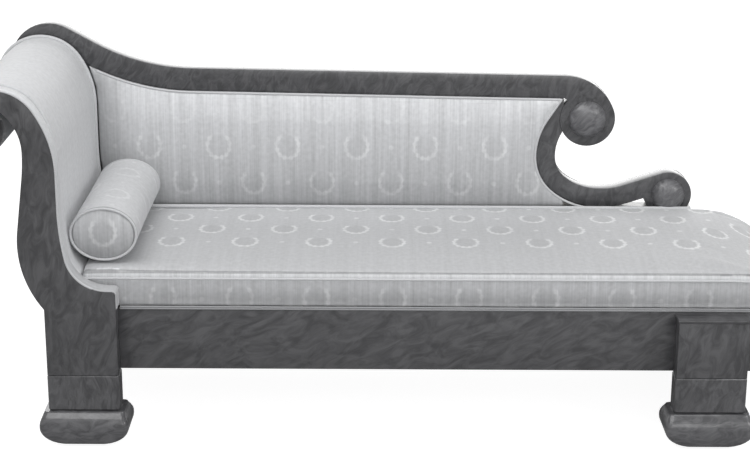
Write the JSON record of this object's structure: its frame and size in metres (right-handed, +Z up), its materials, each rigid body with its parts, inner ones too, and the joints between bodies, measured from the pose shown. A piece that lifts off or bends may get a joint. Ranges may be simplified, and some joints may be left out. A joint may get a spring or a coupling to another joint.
{
  "type": "recamier",
  "caption": "Scroll-end day couch: S-shaped facings, rolled arm, sweeping crest rail with a round scroll, C-shaped back end, pad feet, upholstered seat and a loose bolster.",
  "frame": {"origin": "on the floor under the middle of the couch's outer box", "axes": "+X runs along the length from the rolled arm to the low foot end, +Y from the front to the back, +Z up"},
  "size_m": [2.065, 0.668, 0.9409],
  "materials": {
    "mahogany": "satin polish",
    "frame_wood": "sawn, unfinished",
    "silk": "silk damask",
    "cover_cloth": "plain silk",
    "webbing": "woven jute",
    "iron": "dull"
  },
  "bodies": {
    "couch": {"front_seat_rail": "mahogany", "rear_seat_rail": "frame_wood", "head_end_rail": "frame_wood", "foot_end_rail": "mahogany", "corner_blocks": "frame_wood", "seat_cross_braces": "frame_wood", "foot_block_front": "mahogany", "foot_block_rear": "mahogany", "foot_block_cap": "mahogany", "leg_block_head_front": "mahogany", "pad_foot_head_front": "mahogany", "leg_block_head_rear": "mahogany", "pad_foot_head_rear": "mahogany", "leg_block_foot_front": "mahogany", "pad_foot_foot_front": "mahogany", "leg_block_foot_rear": "mahogany", "pad_foot_foot_rear": "mahogany", "foot_wear_pads": "mahogany", "glides": "iron", "leg_dowels": "frame_wood", "arm_facing_front": "mahogany", "arm_facing_rear": "mahogany", "crest_rail": "mahogany", "c_scroll": "mahogany", "back_bottom_rail": "frame_wood", "crest_scroll_boss": "mahogany", "lower_scroll_boss": "mahogany", "arm_scroll_boss": "mahogany", "arm_pad": "silk", "arm_outside_cover": "cover_cloth", "arm_scroll_core": "frame_wood", "arm_staves": "frame_wood", "seat_webbing_cross": "webbing", "seat_webbing_long": "webbing", "seat_pad": "silk", "back_pad": "silk", "back_webbing": "webbing", "back_outside_cover": "cover_cloth"},
    "bolster": {"bolster": "silk"}
  },
  "joints": [
    {"name": "bolster_lift", "type": "slide", "parent": "couch", "child": "bolster", "axis": [0, 0, 1], "range_m": [0, 0.35]}
  ]
}
